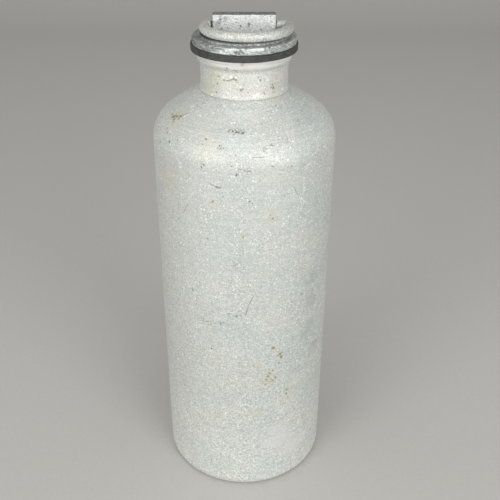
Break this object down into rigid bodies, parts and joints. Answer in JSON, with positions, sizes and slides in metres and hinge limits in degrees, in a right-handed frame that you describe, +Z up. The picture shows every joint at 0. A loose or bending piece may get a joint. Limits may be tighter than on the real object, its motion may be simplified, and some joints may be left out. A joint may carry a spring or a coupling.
{
  "type": "screw-stopper metal bottle",
  "caption": "Tall round single-wall metal bottle with a sloped shoulder, short threaded neck, flat rubber gasket and a screw stopper carrying a flat grip lug and a swinging wire bail.",
  "frame": {"origin": "centre of the base, on the plane that the bottle stands on", "axes": "+Z up along the bottle's axis; the bail lies towards -Y, the side that the picture shows; +X along the grip lug, to the right in the picture"},
  "size_m": [0.083, 0.083, 0.2372],
  "materials": {
    "shell_metal": "matt blasted, pale grey, pitted and scuffed",
    "neck_metal": "matt, with a turned brighter collar under the gasket",
    "gasket_rubber": "matt black rubber",
    "stopper_metal": "dull oxidised grey with bright worn scuffs on the rim",
    "lug_metal": "matt pale grey, top face worn dark",
    "bail_metal": "matt pale grey round wire"
  },
  "bodies": {
    "bottle": {"shell": "shell_metal", "neck_ring": "neck_metal"},
    "seal": {"gasket": "gasket_rubber"},
    "stopper_head": {"stopper": "stopper_metal", "grip_lug": "lug_metal"},
    "bail_loop": {"bail": "bail_metal"}
  },
  "joints": [
    {"name": "stopper_lift", "type": "slide", "parent": "bottle", "child": "seal", "axis": [0, 0, 1], "range_m": [0, 0.02]},
    {"name": "stopper_turn", "type": "hinge", "parent": "seal", "child": "stopper_head", "pos_m": [0, 0, 0.2253], "axis": [0, 0, 1], "range_deg": [0, 1800]},
    {"name": "bail_swing", "type": "hinge", "parent": "stopper_head", "child": "bail_loop", "pos_m": [0, 0, 0.23225], "axis": [-1, 0, 0], "range_deg": [0, 180]}
  ],
  "couplings": [
    {"joint": "stopper_turn", "follows": "stopper_lift", "rad_per_m": 1570.8}
  ]
}
